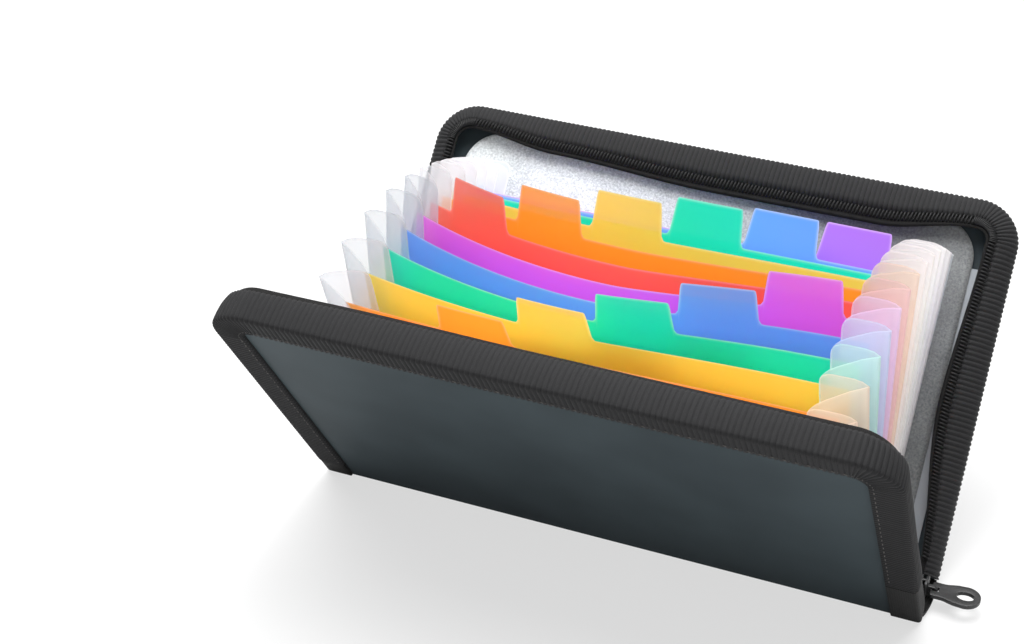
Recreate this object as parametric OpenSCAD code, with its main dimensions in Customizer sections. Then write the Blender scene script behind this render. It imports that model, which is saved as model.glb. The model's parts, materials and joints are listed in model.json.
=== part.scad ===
// Zip-round coupon organizer wallet, standing open on its spine.
// X runs along the spine, -Y faces the front cover, Z is up.
// The origin is the centre of the spine's underside. Sizes are in millimetres.

/* [Covers] */
// Width of each cover
cover_w = 200; // [190:1:210]
// Height of each cover above its crease
cover_h = 121; // [118:1:126]
// Radius of the covers' two top corners
corner_r = 14; // [12:1:16]
// Thickness of the plastic boards and of the spine
board_t = 1; // [0.8:0.1:1]
// Thickness of the felt lining
lining_t = 0.8; // [0.6:0.1:0.9]
// Lean of the front cover from upright, in degrees
front_lean = 34; // [30:1:36]
// Lean of the rear cover from upright, in degrees
rear_lean = 42; // [38:1:44]

/* [Spine] */
// Depth of the spine, which is the closed thickness over the boards
spine_d = 20; // [20:1:22]

/* [Edge binding and zipper] */
// Width of the ribbon on a cover's face
binding_w = 9.4; // [8:0.2:10]
// Thickness of the ribbon
binding_t = 0.7; // [0.6:0.1:0.8]
// Depth of the front wall, from the board's middle to the coil's edge
front_wall_d = 9.2; // [8:0.1:9.2]
// How far the front wall leans inwards over its depth
front_wall_in = 5; // [3:0.5:7]
// Depth of the rear wall
rear_wall_d = 8; // [7:0.1:9.2]
// How far the rear wall leans inwards over its depth
rear_wall_in = 9; // [5:0.5:10]
// Height of the folded fabric patch over the slider end
slider_patch_h = 28; // [20:1:32]
// Height of the folded fabric patch over the other end
far_patch_h = 9; // [8:1:14]

/* [Accordion] */
// Height of a divider's body above its fold
divider_h = 91; // [86:1:94]
// How far an index tab stands above the body
tab_h = 12; // [9:1:13]
// Width of an index tab at its root
tab_w = 23.5; // [22:0.5:24]
// Half the width of a divider
divider_half_w = 75; // [73:1:78]
// Thickness of a divider
divider_t = 0.45; // [0.3:0.05:0.5]
// Distance between neighbouring dividers at the fold line
slot_pitch = 1.2; // [1.1:0.05:1.2]
// Angle between the front cover and the first divider
front_gap = 5.5; // [5:0.5:7]
// Angle between the last divider and the rear cover
rear_gap = 7.2; // [5:0.2:8]
// How much closer the rear pockets stand than the front ones
crowding = 0.18; // [0:0.02:0.3]
// How far forward of even steps the middle dividers lean, in degrees
middle_forward = 2.4; // [0:0.2:3]
// Half the width over the gussets' outer folds
outer_fold_x = 82; // [81:1:84]
// Half the width between the gussets' inner folds
inner_fold_x = 68; // [66:1:71]
// Height of the gussets' outer folds
gusset_h = 103; // [98:1:105]

/* [Hidden] */
$fn = 72;

// Dividers, and index positions across the wallet
dividers = 12;
positions = 6;

// Crease lines: each cover turns about the round edge of the spine sheet
crease_y = spine_d / 2 - board_t / 2;
crease_z = board_t / 2;
crease_gap = board_t / 2 + 0.3;

// Cover layers, measured inwards from the middle of the board
board_in = board_t / 2;
lining_in = board_in + lining_t;
panel_t = 0.4;
panel_in = lining_in + panel_t;
board_inset = binding_t + 0.1;

// Accordion panel on each cover's lining
panel_half_w = 92;
panel_low = 3;
panel_top = 98.5;
panel_notch_x = [84.7, 86.7];
panel_notch_low = 90.5;

// Felt lining outline
lining_half_w = 88;
lining_top = 113;
lining_r = 13;

// Walls: ribbon first, then the bare tape with the coil on its inner side
ribbon_share = 0.64;
tape_t = 0.4;
coil_w = 2.8;
coil_t = 1.1;
wall_low = 3;
tape_low = 3.5;
patch_extra = 0.3;
edge_round = 1;
skin = 0.01;

// Accordion base, and the round beads that the dividers fold on
base_t = 0.5;
base_half_w = 84;
bead_r = 0.3;
bead_z = board_t + base_t + bead_r;
divider_low = bead_r + 0.2;
fold_low = 4;
tab_pitch = 21.3;
tab_slant = 1.4;
tab_r = 1.2;

// Gusset sheets stand clear of the divider that they wrap
film_t = 0.3;
wrap_gap = divider_t / 2 + 0.05;
fold_clearance = 0.3;
shoulder_drop = 6;
shoulder_start = 0.3;
top_slope = 1.5;

// Slider and pull tab at the right-hand end of the zip
chain_x = 97.5;
chain_half_w = 2.2;
chain_t = 0.8;
slider_low = 2.5;
slider_len = 6;
slider_half_w = 2.9;
slider_plate_t = 0.8;
slider_channel = 1.2;
slider_rim_t = 0.5;
slider_rim_len = 3.6;
wedge_len = 1.2;
wedge_t = 1;
hinge_x = 100.6;
hinge_z = 5;
bail_r = 1.5;
bail_hole_r = 0.75;
bail_half_t = 0.8;
pin_r = 0.5;
pull_t = 1.3;
pull_len = 14.4;
pull_neck_half_w = 3.3;
pull_ring_r = 4.6;
pull_hole_r = 2.35;
pull_hole_x = [8.2, 10.4];
pull_window = [2.6, 1.3];
end_tab_h = 2.2;
end_tab_x = [92, 101];
end_tab_half_d = crease_y - 0.9;

// Lean of divider k towards the rear, in steps that shrink slightly; the covers are 0 and the last + 1
function share(k) = (k - 1) / (dividers - 1);
function spread(k) = share(k) * (1 + crowding) - crowding * share(k) * share(k);
function slump(k) = middle_forward * pow(sin(180 * k / (dividers + 1)), 2);
function lean(k) = k == 0 ? -front_lean
    : k > dividers ? rear_lean
    : front_gap - front_lean + (front_lean + rear_lean - front_gap - rear_gap) * spread(k) - slump(k);
function slot_y(k) = (k - (dividers + 1) / 2) * slot_pitch;
function tab_x(k) = ((k - 1) % positions - (positions - 1) / 2) * tab_pitch;

// Space from a cover's panel to the nearest divider, at the fold line
function cover_gap(cover_lean) = (crease_y - slot_y(dividers)) * cos(cover_lean)
    + (bead_z - crease_z) * sin(cover_lean) - panel_in;

// Half the space in front of divider k, at the fold line and per unit of height
function half_gap(k) = let (step = lean(k) - lean(k - 1), middle = (lean(k) + lean(k - 1)) / 2)
    [k == 1 ? cover_gap(front_lean) / 2
     : k == dividers + 1 ? cover_gap(rear_lean) / 2
     : slot_pitch * cos(middle) / 2, tan(step / 2)];

divider_colors = ["tomato", "orange", "gold", "mediumaquamarine", "cornflowerblue", "orchid",
    "tomato", "orange", "gold", "mediumaquamarine", "cornflowerblue", "mediumorchid"];

// Placing

// A flat shape drawn in X and Z, from y0 to y0 + t
module slab(y0, t) {
    translate([0, y0 + t, 0]) rotate([90, 0, 0]) linear_extrude(t) children();
}

// A cover's own frame: Z up the board, Y into the wallet, origin on the crease
module on_front() {
    translate([0, -crease_y, crease_z]) rotate([front_lean, 0, 0]) children();
}

module on_rear() {
    mirror([0, 1, 0]) translate([0, -crease_y, crease_z]) rotate([rear_lean, 0, 0]) children();
}

// A divider's own frame: Z up the sheet, Y to the rear, origin on its bead
module on_divider(k) {
    translate([0, slot_y(k), bead_z]) rotate([-lean(k), 0, 0]) children();
}

// Outlines

module round_top(half_w, low, top, r) {
    translate([-half_w, low]) square([2 * half_w, top - r - low]);
    translate([r - half_w, low]) square([2 * (half_w - r), top - low]);
    for (side = [-1, 1]) translate([side * (half_w - r), top - r]) circle(r);
}

module cover_outline(inset, low) {
    round_top(cover_w / 2 - inset, low, cover_h - inset, corner_r - inset);
}

// Covers

module cover_board() {
    slab(-board_in, board_t) cover_outline(board_inset, crease_gap);
}

module lining() {
    slab(board_in, lining_t) round_top(lining_half_w, panel_low, lining_top, lining_r);
}

module accordion_panel() {
    slab(lining_in, panel_t) difference() {
        round_top(panel_half_w, panel_low, panel_top, 2);
        for (side = [-1, 1]) translate([side > 0 ? panel_notch_x[0] : -panel_notch_x[1], panel_notch_low])
            square([panel_notch_x[1] - panel_notch_x[0], panel_top]);
    }
}

// Edge binding, zipper tape and coil

// How far a wall has leaned inwards at depth y
function wall_inset(y, d, inward) = inward * max(0, y - board_in) / (d - board_in);

// A thin slice of a wall's outline at depth y
module wall_slice(y, extra, d, inward, low) {
    slab(y, skin) cover_outline(wall_inset(y, d, inward) + extra, low);
}

// Ribbon round the board's edge: a strip on the face, and a wall that leans inwards
module ribbon(d, inward, thicker) {
    ribbon_d = d * ribbon_share;
    difference() {
        hull() {
            slab(-board_in - binding_t - thicker, skin) cover_outline(edge_round - thicker, crease_gap);
            wall_slice(-board_in, -thicker, d, inward, crease_gap);
            wall_slice(board_in, -thicker, d, inward, crease_gap);
            wall_slice(ribbon_d, -thicker, d, inward, crease_gap);
        }
        hull() {
            wall_slice(-board_in, binding_t, d, inward, -1);
            wall_slice(board_in, binding_t, d, inward, -1);
            wall_slice(ribbon_d + 2 * skin, binding_t, d, inward, -1);
        }
        slab(-board_in - 2, 2 + skin) cover_outline(binding_w, -1);
        // the wall stops above the spine's end tab
        translate([-cover_w, board_in, -1]) cube([2 * cover_w, d, 1 + wall_low]);
    }
}

// The part of the wall's space between two heights at one end
module end_zone(side, low, high) {
    x = side > 0 ? cover_w / 2 - binding_w - 2 : -cover_w / 2 - 2;
    translate([x, -spine_d, low]) cube([binding_w + 4, 2 * spine_d, high - low]);
}

// The ribbon between its two end patches
module ribbon_run(d, inward, right_patch_h, left_patch_h) {
    difference() {
        ribbon(d, inward, 0);
        end_zone(1, -1, right_patch_h);
        end_zone(-1, -1, left_patch_h);
    }
}

// All of a cover's space from depth y0 to y1
module depth_zone(y0, y1) {
    translate([-cover_w, y0, -1]) cube([2 * cover_w, y1 - y0, cover_h + 2]);
}

// The ribbon's wall, inwards of the board
module edge_binding(d, inward, right_patch_h, left_patch_h) {
    intersection() {
        ribbon_run(d, inward, right_patch_h, left_patch_h);
        depth_zone(board_in, spine_d);
    }
}

// The ribbon's strip on the cover's face, and its turn round the board's edge
module binding_face(d, inward, right_patch_h, left_patch_h) {
    intersection() {
        ribbon_run(d, inward, right_patch_h, left_patch_h);
        depth_zone(-spine_d, board_in);
    }
}

module end_patch(side, d, inward, patch_h) {
    intersection() {
        ribbon(d, inward, patch_extra);
        end_zone(side, -1, patch_h - 0.05);
    }
}

module tape_shell(d, inward, start_y, end_y, inner, t) {
    difference() {
        hull() {
            wall_slice(start_y, inner, d, inward, tape_low);
            wall_slice(end_y, inner, d, inward, tape_low);
        }
        hull() {
            wall_slice(start_y - 2 * skin, inner + t, d, inward, -1);
            wall_slice(end_y + 2 * skin, inner + t, d, inward, -1);
        }
    }
}

module zipper_tape(d, inward) {
    tape_shell(d, inward, lining_in, d - skin, binding_t + 0.05, tape_t);
}

module zipper_coil(d, inward) {
    tape_shell(d, inward, d - coil_w, d - 0.2, binding_t + 0.1 + tape_t, coil_t);
}

// Spine

module spine_board() {
    half = cover_w / 2 - board_inset;
    translate([-half, -crease_y, 0]) cube([2 * half, 2 * crease_y, board_t]);
    for (side = [-1, 1]) translate([-half, side * crease_y, crease_z]) rotate([0, 90, 0])
        cylinder(r = board_t / 2, h = 2 * half);
}

module accordion_base() {
    half_d = slot_y(dividers) + slot_pitch / 2;
    translate([-base_half_w, -half_d, board_t]) cube([2 * base_half_w, 2 * half_d, base_t]);
    for (k = [1:dividers]) translate([-base_half_w, slot_y(k), 0]) {
        translate([0, 0, bead_z]) rotate([0, 90, 0]) cylinder(r = bead_r, h = 2 * base_half_w, $fn = 24);
        translate([0, -bead_r / 2, board_t + base_t / 2]) cube([2 * base_half_w, bead_r, bead_r + base_t / 2]);
    }
}

// Fabric that closes the wallet's end on the spine, bulging outwards
module end_tab() {
    bulge_r = 40;
    translate([0, 0, board_t]) linear_extrude(end_tab_h - board_t) intersection() {
        translate([end_tab_x[0], -end_tab_half_d])
            square([end_tab_x[1] - end_tab_x[0], 2 * end_tab_half_d]);
        translate([end_tab_x[1] - bulge_r, 0]) circle(bulge_r, $fn = 180);
    }
}

// Last closed stretch of the zip, which the slider sits on
module zipper_chain_end() {
    translate([chain_x - chain_t / 2, -chain_half_w, end_tab_h])
        cube([chain_t, 2 * chain_half_w, slider_low + slider_len - wedge_len - 0.2 - end_tab_h]);
}

// Slider and pull

module slider_body() {
    inner = chain_x - slider_channel / 2;
    outer = chain_x + slider_channel / 2;
    // two plates, joined by rims at the foot and by a wedge at the mouth
    for (x = [inner - slider_plate_t, outer]) translate([x, -slider_half_w, slider_low])
        cube([slider_plate_t, 2 * slider_half_w, slider_len]);
    for (y = [-slider_half_w, slider_half_w - slider_rim_t]) translate([inner, y, slider_low])
        cube([slider_channel, slider_rim_t, slider_rim_len]);
    translate([inner, -wedge_t / 2, slider_low + slider_len - wedge_len])
        cube([slider_channel, wedge_t, wedge_len]);
    // bail that holds the pull
    difference() {
        union() {
            translate([hinge_x, bail_half_t, hinge_z]) rotate([90, 0, 0]) cylinder(r = bail_r, h = 2 * bail_half_t);
            translate([outer + slider_plate_t / 2, -bail_half_t, hinge_z - bail_r])
                cube([hinge_x - outer - slider_plate_t / 2, 2 * bail_half_t, 2 * bail_r]);
        }
        translate([hinge_x, bail_half_t + 1, hinge_z]) rotate([90, 0, 0])
            cylinder(r = bail_hole_r, h = 2 * bail_half_t + 2);
    }
}

// The pull in its own frame: X outwards from its pin
module pull_outline() {
    ring_x = pull_len - pull_ring_r;
    neck = pull_neck_half_w;
    difference() {
        union() {
            polygon([[-pin_r, -neck], [4, -neck], [ring_x - 2, -pull_ring_r], [ring_x, -pull_ring_r],
                [ring_x, pull_ring_r], [ring_x - 2, pull_ring_r], [4, neck], [-pin_r, neck]]);
            translate([ring_x, 0]) circle(pull_ring_r);
        }
        // finger hole
        translate([pull_hole_x[0], -pull_hole_r]) square([pull_hole_x[1] - pull_hole_x[0], 2 * pull_hole_r]);
        for (x = pull_hole_x) translate([x, 0]) circle(pull_hole_r);
        // window round the bail
        translate([-pin_r - 1, -pull_window[1]]) square([pin_r + 1 + pull_window[0], 2 * pull_window[1]]);
    }
}

module pull_tab() {
    translate([hinge_x, 0, hinge_z]) {
        translate([0, 0, -pull_t / 2]) linear_extrude(pull_t) pull_outline();
        translate([0, pull_neck_half_w, 0]) rotate([90, 0, 0]) cylinder(r = pin_r, h = 2 * pull_neck_half_w);
    }
}

// Dividers and gussets

module divider(k) {
    color(divider_colors[k - 1]) on_divider(k) slab(-divider_t / 2, divider_t) {
        translate([-divider_half_w, divider_low]) square([2 * divider_half_w, divider_h - divider_low]);
        hull() {
            translate([tab_x(k) - tab_w / 2, divider_h - 1]) square([tab_w, 1]);
            for (side = [-1, 1])
                translate([tab_x(k) + side * (tab_w / 2 - tab_slant - tab_r), divider_h + tab_h - tab_r])
                    circle(tab_r, $fn = 24);
        }
    }
}

// Columns of a gusset leaf, from its outer fold (0) to its inner fold (1), and its rows
leaf_columns = [0, 0.4, 0.7, 0.88, 1];
leaf_rows = [0, 0.3, 0.65, 1];
function leaf_top(u) = gusset_h - top_slope * u
    - shoulder_drop * (1 - sqrt(1 - pow(max(0, u - shoulder_start) / (1 - shoulder_start), 2)));

// Distance of the leaf's sheet from the divider's middle at column u and height h
function leaf_out(u, h, gap) = wrap_gap + u * (gap[0] + gap[1] * h - wrap_gap - film_t - fold_clearance / 2);

function leaf_points(side, face, gap, start, layer) = [
    for (u = leaf_columns, v = leaf_rows) let (h = fold_low + v * (leaf_top(u) - fold_low))
        [side * (outer_fold_x - u * (outer_fold_x - inner_fold_x)),
         face * (start + leaf_out(u, h, gap) + layer * film_t), h]];

// One sheet between an outer and an inner fold, as a closed shell on a grid
module gusset_leaf(side, face, gap, start) {
    rows = len(leaf_rows);
    columns = len(leaf_columns);
    n = rows * columns;
    turned = side * face < 0;
    // the near layer, the far layer, and the rim between them
    quads = concat(
        [for (i = [0:columns - 2], j = [0:rows - 2]) let (a = i * rows + j) [a, a + 1, a + rows + 1, a + rows]],
        [for (i = [0:columns - 2], j = [0:rows - 2]) let (a = n + i * rows + j) [a, a + rows, a + rows + 1, a + 1]],
        [for (i = [0:columns - 2]) let (a = i * rows) [a, a + rows, n + a + rows, n + a]],
        [for (i = [0:columns - 2]) let (a = (i + 1) * rows - 1) [a, n + a, n + a + rows, a + rows]],
        [for (j = [0:rows - 2]) [j, n + j, n + j + 1, j + 1]],
        [for (j = [0:rows - 2]) let (a = n - rows + j) [a, a + 1, n + a + 1, n + a]]);
    triangles = [for (q = quads, t = [[0, 1, 2], [0, 2, 3]]) [for (c = t) q[c]]];
    polyhedron(
        points = concat(leaf_points(side, face, gap, start, 0), leaf_points(side, face, gap, start, 1)),
        faces = turned ? triangles : [for (t = triangles) [t[2], t[1], t[0]]],
        convexity = 4);
}

// A pleat that runs up one end, under its divider and up the other end
module gusset_fold(k) {
    color("white", 0.6) on_divider(k) {
        for (side = [-1, 1]) {
            gusset_leaf(side, -1, half_gap(k), 0);
            gusset_leaf(side, 1, half_gap(k + 1), 0);
            translate([side > 0 ? outer_fold_x - 0.1 : -outer_fold_x - film_t, -wrap_gap - film_t, fold_low])
                cube([film_t + 0.1, 2 * (wrap_gap + film_t), gusset_h - fold_low]);
        }
        translate([-outer_fold_x, -wrap_gap - film_t, divider_low + 0.1])
            cube([2 * outer_fold_x, film_t, fold_low + 0.6]);
    }
}

// The last half pleat, from a cover's panel to the first inner fold
module end_leaf(gap) {
    start = panel_in - wrap_gap;
    for (side = [-1, 1]) gusset_leaf(side, 1, gap, start);
    slab(panel_in, film_t) translate([-outer_fold_x, fold_low]) square([2 * outer_fold_x, 2]);
}

// Parts

color("#1d1f21") spine_board();
color("whitesmoke") accordion_base();
color("#26282a") mirror([1, 0, 0]) end_tab();  // left_end_tab
color("#26282a") end_tab();  // right_end_tab
color("#2e3032") zipper_chain_end();
color("#3c3e40") slider_body();
color("#3c3e40") pull_tab();

color("#34393a") on_front() cover_board();  // front_cover_board
color("#a9abb0") on_front() lining();  // front_lining
color("#2b2b2c") on_front()  // front_binding_face
    binding_face(front_wall_d, front_wall_in, slider_patch_h, far_patch_h);
color("#2b2b2c") on_front()  // front_edge_binding
    edge_binding(front_wall_d, front_wall_in, slider_patch_h, far_patch_h);
color("#242526") on_front()  // front_patch_left
    end_patch(-1, front_wall_d, front_wall_in, far_patch_h);
color("#242526") on_front()  // front_patch_right
    end_patch(1, front_wall_d, front_wall_in, slider_patch_h);
color("#222324") on_front()  // front_zipper_tape
    zipper_tape(front_wall_d, front_wall_in);
color("#303234") on_front()  // front_zipper_coil
    zipper_coil(front_wall_d, front_wall_in);
color("white", 0.6) on_front() accordion_panel();  // front_accordion_panel
color("white", 0.6) on_front() end_leaf(half_gap(1));  // front_gusset_leaf

color("#34393a") on_rear() cover_board();  // rear_cover_board
color("#a9abb0") on_rear() lining();  // rear_lining
color("#2b2b2c") on_rear()  // rear_binding_face
    binding_face(rear_wall_d, rear_wall_in, far_patch_h, far_patch_h);
color("#2b2b2c") on_rear()  // rear_edge_binding
    edge_binding(rear_wall_d, rear_wall_in, far_patch_h, far_patch_h);
color("#242526") on_rear()  // rear_patch_left
    end_patch(-1, rear_wall_d, rear_wall_in, far_patch_h);
color("#242526") on_rear()  // rear_patch_right
    end_patch(1, rear_wall_d, rear_wall_in, far_patch_h);
color("#222324") on_rear()  // rear_zipper_tape
    zipper_tape(rear_wall_d, rear_wall_in);
color("#303234") on_rear()  // rear_zipper_coil
    zipper_coil(rear_wall_d, rear_wall_in);
color("white", 0.6) on_rear() accordion_panel();  // rear_accordion_panel
color("white", 0.6) on_rear() end_leaf(half_gap(dividers + 1));  // rear_gusset_leaf

divider(1);  // divider_01
divider(2);  // divider_02
divider(3);  // divider_03
divider(4);  // divider_04
divider(5);  // divider_05
divider(6);  // divider_06
divider(7);  // divider_07
divider(8);  // divider_08
divider(9);  // divider_09
divider(10);  // divider_10
divider(11);  // divider_11
divider(12);  // divider_12

gusset_fold(1);  // gusset_fold_01
gusset_fold(2);  // gusset_fold_02
gusset_fold(3);  // gusset_fold_03
gusset_fold(4);  // gusset_fold_04
gusset_fold(5);  // gusset_fold_05
gusset_fold(6);  // gusset_fold_06
gusset_fold(7);  // gusset_fold_07
gusset_fold(8);  // gusset_fold_08
gusset_fold(9);  // gusset_fold_09
gusset_fold(10);  // gusset_fold_10
gusset_fold(11);  // gusset_fold_11
gusset_fold(12);  // gusset_fold_12
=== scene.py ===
# %% [markdown]
# # A zip-round coupon organizer, standing open on its spine
# The CAD model holds the rigid truth: two stiff covers that hinge on a narrow spine, twelve dividers
# that follow them, and a zip slider with its pull. This notebook dresses that model. Everything that
# shows is a thin sheet, a ribbon or a moulding, so nearly every piece is a surface of two parameters:
# how far along an edge, and how far across it. All sizes here are in millimetres, in the CAD's frame,
# and one function turns them into metres.

# %% Load the frame
import json
import math

import bmesh
import bpy
import numpy as np
from mathutils import Matrix

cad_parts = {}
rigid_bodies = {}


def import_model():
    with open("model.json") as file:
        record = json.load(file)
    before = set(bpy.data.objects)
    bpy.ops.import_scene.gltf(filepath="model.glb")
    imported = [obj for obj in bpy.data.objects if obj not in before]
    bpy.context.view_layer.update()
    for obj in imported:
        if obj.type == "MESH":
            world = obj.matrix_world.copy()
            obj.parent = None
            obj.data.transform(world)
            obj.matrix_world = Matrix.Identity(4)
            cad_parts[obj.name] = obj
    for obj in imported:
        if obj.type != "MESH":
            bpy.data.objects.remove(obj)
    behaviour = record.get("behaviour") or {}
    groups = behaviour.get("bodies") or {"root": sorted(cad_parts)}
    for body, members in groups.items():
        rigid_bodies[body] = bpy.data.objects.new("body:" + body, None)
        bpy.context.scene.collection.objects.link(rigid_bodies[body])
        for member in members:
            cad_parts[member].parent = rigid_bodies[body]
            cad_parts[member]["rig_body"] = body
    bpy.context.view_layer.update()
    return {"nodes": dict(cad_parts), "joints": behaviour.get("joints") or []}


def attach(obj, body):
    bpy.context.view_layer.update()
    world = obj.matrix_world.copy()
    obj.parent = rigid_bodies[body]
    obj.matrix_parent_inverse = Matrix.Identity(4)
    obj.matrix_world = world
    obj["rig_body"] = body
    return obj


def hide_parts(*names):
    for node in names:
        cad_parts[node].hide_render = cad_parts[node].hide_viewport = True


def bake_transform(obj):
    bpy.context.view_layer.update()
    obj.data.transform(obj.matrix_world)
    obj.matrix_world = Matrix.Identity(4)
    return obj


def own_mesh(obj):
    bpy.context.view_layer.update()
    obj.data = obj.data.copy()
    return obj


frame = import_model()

# %% [markdown]
# ## Sizes
# The joints say where the covers and dividers turn and how far they lean at rest, so those numbers are
# read from the frame. The rest are the driving dimensions of the real wallet.

# %% Driving dimensions
MM = 0.001
joints = {joint["name"]: joint for joint in frame["joints"]}


def closing_turn(name):
    """The turn that stands a leaf upright: the end of its range that isn't zero, in degrees."""
    return max(joints[name]["range_deg"], key=abs)


LEAVES = 12
COVER_W, COVER_H, CORNER_R = 200.0, 121.0, 14.0
CREASE_Y, CREASE_Z = (abs(v) / MM for v in joints["front_cover_hinge"]["pos_m"][1:])
LEAN = [closing_turn("front_cover_hinge")]
LEAN += [closing_turn(f"leaf_{k:02d}_hinge") for k in range(1, LEAVES + 1)]
LEAN += [closing_turn("rear_cover_hinge")]
SLOT_Y = [joints[f"leaf_{k:02d}_hinge"]["pos_m"][1] / MM for k in range(1, LEAVES + 1)]
SLOT_Z = joints["leaf_01_hinge"]["pos_m"][2] / MM
# depths from the middle of a cover's board, positive inwards: its two faces, and the accordion's panel
BOARD_OUT, BOARD_IN = -0.5, 0.5
LINING_T = 0.8
PANEL_IN = 1.7
print("leans:", [round(a, 1) for a in LEAN])

# %% [markdown]
# ## Camera
# The camera stands where the corners of the two covers put it: 23 degrees round to the right and 32
# degrees up, with a long lens. It is moved a little aside rather than turned, because the wallet sits
# low and right of the picture's centre.

# %% Camera
IMAGE_W = 1024
FOCAL_PX = 2000.6
SENSOR_MM = 36.0
CAMERA_AZ, CAMERA_EL = math.radians(23.06), math.radians(31.77)
CAMERA_DIST = 641.4
# how far the camera is moved aside, to the right and up
CAMERA_OFF = (-34.83, 64.56)


def aimed(right, up, back, place):
    """The matrix whose columns are the three directions and the place, which is given in mm."""
    return Matrix(np.vstack([np.column_stack([right, up, back, np.array(place) * MM]), [0, 0, 0, 1]]).tolist())


def add_camera():
    """Back is the unit vector from the object to the camera; right and up span the picture."""
    back = np.array([math.sin(CAMERA_AZ) * math.cos(CAMERA_EL), -math.cos(CAMERA_AZ) * math.cos(CAMERA_EL),
                     math.sin(CAMERA_EL)])
    right = np.array([math.cos(CAMERA_AZ), math.sin(CAMERA_AZ), 0.0])
    up = np.cross(back, right)
    place = back * CAMERA_DIST + right * CAMERA_OFF[0] + up * CAMERA_OFF[1]
    data = bpy.data.cameras.new("camera")
    data.sensor_width = SENSOR_MM
    data.lens = FOCAL_PX * SENSOR_MM / IMAGE_W
    data.clip_start, data.clip_end = 0.01, 20.0
    camera = bpy.data.objects.new("camera", data)
    bpy.context.scene.collection.objects.link(camera)
    camera.matrix_world = aimed(right, up, back, place)
    bpy.context.scene.camera = camera
    return camera


camera = add_camera()
bpy.context.view_layer.update()
print("lens:", round(camera.data.lens, 1), "mm")

# %% [markdown]
# ## Colours and nodes
# Colours are written as the eye sees them, in sRGB hex, and one function turns them linear. One small
# function adds a node, sets its inputs and links it, so that each material reads as a short list.

# %% Helpers for materials


def linear(code):
    """sRGB hex to linear RGBA: c / 12.92 near black, else ((c + 0.055) / 1.055) ** 2.4."""
    rgb = np.array([int(code[i:i + 2], 16) for i in (1, 3, 5)]) / 255
    return (*np.where(rgb <= 0.04045, rgb / 12.92, ((rgb + 0.055) / 1.055) ** 2.4), 1.0)


def node(tree, kind, settings=None, **inputs):
    """Adds a node. Settings are its own properties; an input takes a value or another node's output.
    Inputs go by name, with _ for a space, or by number where names repeat: i0 is the first."""
    made = tree.nodes.new(kind)
    for name, value in (settings or {}).items():
        setattr(made, name, value)
    for name, value in inputs.items():
        numbered = name[0] == "i" and name[1:].isdigit()
        socket = made.inputs[int(name[1:]) if numbered else name.replace("_", " ")]
        if isinstance(value, bpy.types.NodeSocket):
            tree.links.new(value, socket)
        else:
            socket.default_value = value
    return made


def material(name, **values):
    """A new material with one Principled shader, and the tree and shader to build on."""
    made = bpy.data.materials.new(name)
    made.use_nodes = True
    shader = made.node_tree.nodes["Principled BSDF"]
    for key, value in values.items():
        shader.inputs[key.replace("_", " ")].default_value = value
    print("material:", name)
    return made, made.node_tree, shader


def two_tone(tree, fac, dark, light, low=0.35, high=0.65):
    """A ramp from one colour to another as fac goes from low to high."""
    ramp = node(tree, "ShaderNodeValToRGB", i0=fac)
    first, last = ramp.color_ramp.elements
    first.position, last.position = low, high
    first.color, last.color = linear(dark), linear(light)
    return ramp.outputs["Color"]


def bump(tree, shader, height, depth_mm):
    """Links a height to the shader's normal as a bump of that depth."""
    made = node(tree, "ShaderNodeBump", Strength=1.0, Distance=depth_mm * MM, Height=height)
    tree.links.new(made.outputs["Normal"], shader.inputs["Normal"])


def noise(tree, place, size_mm, **inputs):
    """Noise with lumps of about that size."""
    return node(tree, "ShaderNodeTexNoise", Vector=place, Scale=1 / (size_mm * MM), **inputs).outputs[0]


def times_plus(tree, value, factor, added):
    """value x factor + added."""
    return node(tree, "ShaderNodeMath", {"operation": "MULTIPLY_ADD"}, i0=value, i1=factor, i2=added).outputs[0]


def attribute(tree, name, output="Fac"):
    """A value or colour that is stored at the mesh's points."""
    return node(tree, "ShaderNodeAttribute", {"attribute_name": name}).outputs[output]


print("middle grey, made linear:", round(linear("#808080")[0], 3))

# %% [markdown]
# ## Materials
# ### Satin polypropylene board
# The covers are extruded polypropylene, rolled against a fine matt drum. It is a charcoal with a little
# green in it, and it gives broad, soft highlights. A faint cloudiness stands for handling marks, and a
# very fine grain for the drum.

# %% Cover plastic


def cover_plastic():
    """Charcoal that drifts between two tones over about 45 mm, with the drum's grain of 0.25 mm as a bump."""
    made, tree, shader = material("polypropylene_board_satin", Roughness=0.66, IOR=1.49, Specular_IOR_Level=0.14)
    place = node(tree, "ShaderNodeTexCoord").outputs["Object"]
    cloud = node(tree, "ShaderNodeTexNoise", Vector=place, Scale=22.0, Detail=3.0).outputs[0]
    tree.links.new(two_tone(tree, cloud, "#30383C", "#384145"), shader.inputs["Base Color"])
    bump(tree, shader, noise(tree, place, 0.25, Detail=1.0), 0.012)
    return made


PLASTIC = cover_plastic()

# %% [markdown]
# ### Ribbed ribbon, zipper tape and patch fabric
# The edge is bound in a black ribbed polyester ribbon. Its ribs are real geometry further down, so the
# material adds the yarn with the soft sheen of polyester, and painted shade in the grooves with a painted
# highlight on the rib tops. The ribbon's UV map runs in millimetres: u along the edge, v across it.

# %% Woven fabrics


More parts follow.
